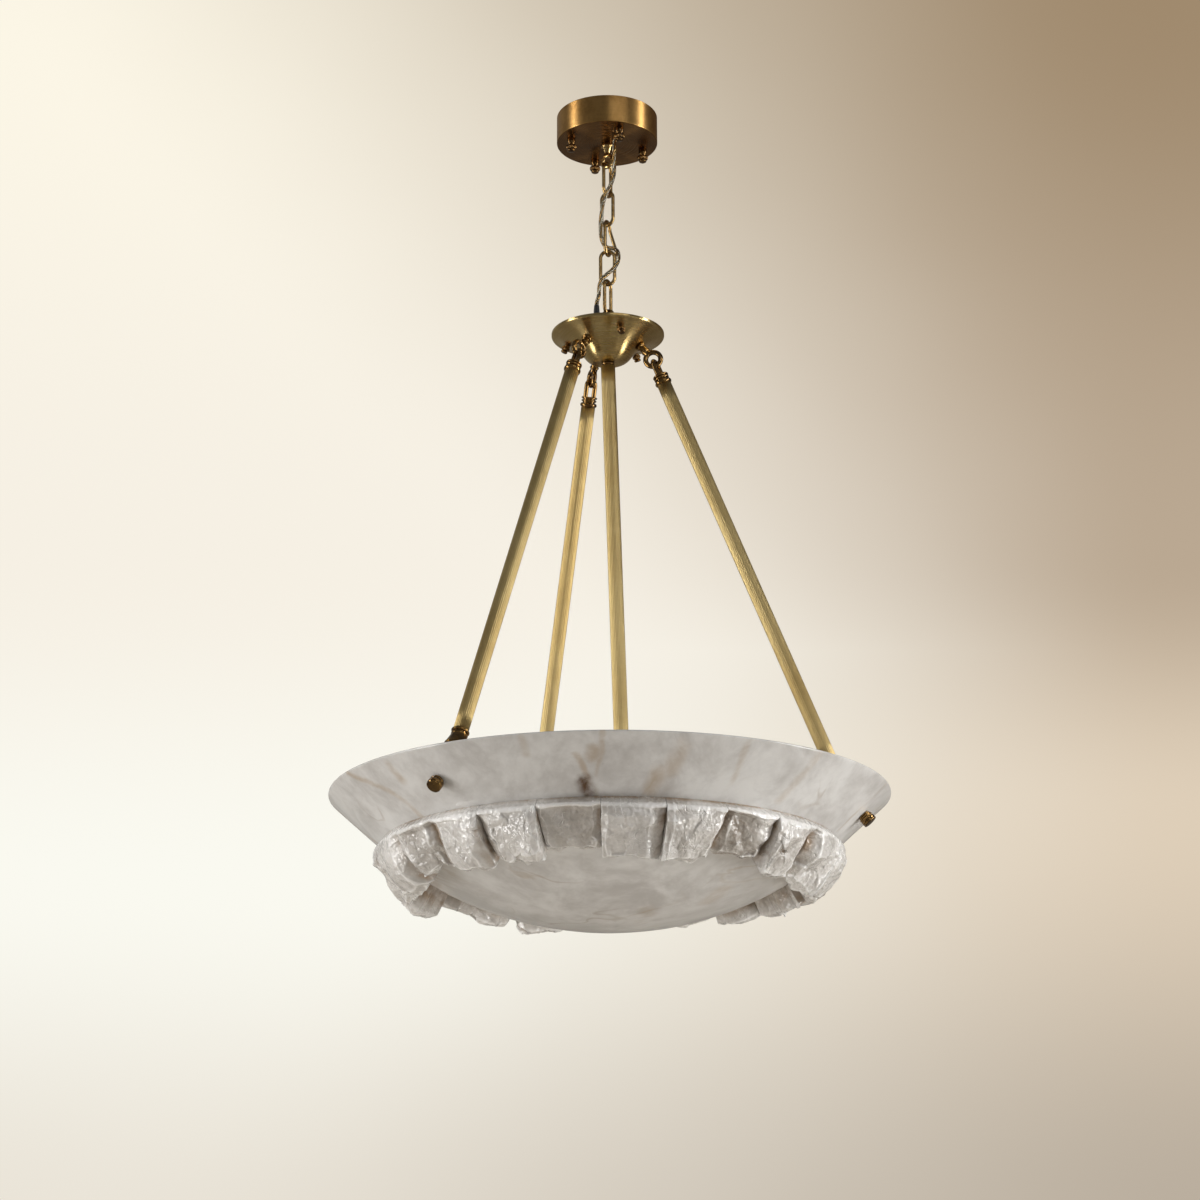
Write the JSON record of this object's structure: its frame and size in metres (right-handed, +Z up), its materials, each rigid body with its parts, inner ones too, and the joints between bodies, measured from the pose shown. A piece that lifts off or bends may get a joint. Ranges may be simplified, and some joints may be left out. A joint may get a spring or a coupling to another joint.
{
  "type": "pendant light",
  "caption": "Pendant light: a shallow alabaster bowl with a band of rough stone blocks, held by reeded brass rods from a turned hub on a short chain and a round canopy.",
  "frame": {"origin": "centre of the ceiling bracket's upper face, midway between the two ceiling screws", "axes": "+Z up, square to the ceiling; -Y towards the viewer of the picture; +X to the viewer's right"},
  "size_m": [0.6, 0.6, 0.9463],
  "materials": {
    "satin_brass": "satin, brushed",
    "dark_brass": "polished, dark bronzed",
    "bracket_steel": "zinc plated",
    "alabaster": "polished, grey-white with soft brown veins",
    "rough_alabaster": "chipped, glossy, brown in the crevices",
    "black_rubber": "satin",
    "clear_flex": "clear sheath over a tinned core",
    "white_plastic": "matte",
    "bulb": "opal"
  },
  "bodies": {
    "canopy": {"mounting_bracket": "bracket_steel", "bracket_studs": "bracket_steel", "terminal_block": "white_plastic", "canopy": "satin_brass", "thumb_nuts": "dark_brass", "canopy_loop": "satin_brass", "flex_1": "clear_flex"},
    "link_1": {"link_1": "satin_brass", "flex_2": "clear_flex"},
    "link_2": {"link_2": "satin_brass", "flex_3": "clear_flex"},
    "link_3": {"link_3": "satin_brass", "flex_4": "clear_flex"},
    "link_4": {"link_4": "satin_brass", "flex_5": "clear_flex"},
    "link_5": {"link_5": "satin_brass", "flex_6": "clear_flex"},
    "hub": {"strain_relief": "black_rubber", "hub": "satin_brass", "hub_cover": "satin_brass", "hub_loop": "satin_brass", "hub_screws": "dark_brass", "screw_eyes": "dark_brass", "rod_eyes": "dark_brass", "rod_left": "satin_brass", "rod_right": "satin_brass", "rod_back": "satin_brass", "rod_feet": "dark_brass", "gaskets": "black_rubber", "wall_bolts": "dark_brass", "stem_coupling": "dark_brass", "stem": "satin_brass", "lamp_cluster": "satin_brass", "lamp_holders": "white_plastic", "bulbs": "bulb", "bowl": "alabaster", "rock_1": "rough_alabaster", "rock_2": "rough_alabaster", "rock_3": "rough_alabaster", "rock_4": "rough_alabaster", "rock_5": "rough_alabaster", "rock_6": "rough_alabaster", "rock_7": "rough_alabaster", "rock_8": "rough_alabaster", "rock_9": "rough_alabaster", "rock_10": "rough_alabaster", "rock_11": "rough_alabaster", "rock_12": "rough_alabaster", "rock_13": "rough_alabaster", "rock_14": "rough_alabaster", "rock_15": "rough_alabaster", "rock_16": "rough_alabaster", "rock_17": "rough_alabaster", "rock_18": "rough_alabaster", "rock_19": "rough_alabaster", "rock_20": "rough_alabaster", "rock_21": "rough_alabaster", "rock_22": "rough_alabaster", "rock_23": "rough_alabaster", "rock_24": "rough_alabaster"}
  },
  "joints": [
    {"name": "swing_1", "type": "hinge", "parent": "canopy", "child": "link_1", "pos_m": [0, 0, -0.0623], "axis": [0.766, -0.6428, 0], "range_deg": [-30, 30], "deforming": ["flex_1"]},
    {"name": "swing_2", "type": "hinge", "parent": "link_1", "child": "link_2", "pos_m": [0, 0, -0.099], "axis": [0.5, 0.866, 0], "range_deg": [-20, 20], "deforming": ["flex_2"]},
    {"name": "swing_3", "type": "hinge", "parent": "link_2", "child": "link_3", "pos_m": [0, 0, -0.1357], "axis": [0.809, -0.5878, 0], "range_deg": [-20, 20], "deforming": ["flex_3"]},
    {"name": "swing_4", "type": "hinge", "parent": "link_3", "child": "link_4", "pos_m": [0, 0, -0.1724], "axis": [0.342, 0.9397, 0], "range_deg": [-20, 20], "deforming": ["flex_4"]},
    {"name": "swing_5", "type": "hinge", "parent": "link_4", "child": "link_5", "pos_m": [0, 0, -0.2091], "axis": [0.9903, -0.1392, 0], "range_deg": [-20, 20], "deforming": ["flex_5"]},
    {"name": "swing_6", "type": "hinge", "parent": "link_5", "child": "hub", "pos_m": [0, 0, -0.2458], "axis": [0.4384, 0.8988, 0], "range_deg": [-20, 20], "deforming": ["flex_6"]}
  ]
}
